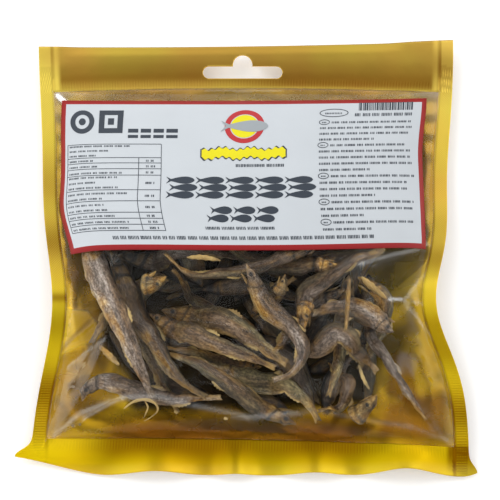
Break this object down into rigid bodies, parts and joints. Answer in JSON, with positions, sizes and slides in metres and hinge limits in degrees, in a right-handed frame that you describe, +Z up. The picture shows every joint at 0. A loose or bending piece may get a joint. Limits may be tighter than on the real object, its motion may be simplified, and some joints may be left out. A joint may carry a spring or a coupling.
{
  "type": "pouch of dried anchovies",
  "caption": "Flat sealed pouch of small dried fish, clear front film over a gold foil back, welded rim with a display hook slot, and a plain white and red label.",
  "frame": {"origin": "centre of the pouch's bounding box, on the table under its back", "axes": "+Y from the bottom weld to the weld with the display slot, +X to the right of the label, +Z up out of the clear front"},
  "size_m": [0.1744, 0.1756, 0.0381],
  "materials": {
    "foil": "gold metallised film, satin, with embossed welds",
    "label": "glossy white paper with a red border and printed shapes",
    "clear_film": "clear glossy film, slightly hazy on its folds",
    "print": "printing ink",
    "fish": "dried fish skin, brown and silver grey, shrivelled, with amber edges"
  },
  "bodies": {
    "root": {"pouch": "foil", "label": "label"}
  },
  "joints": []
}
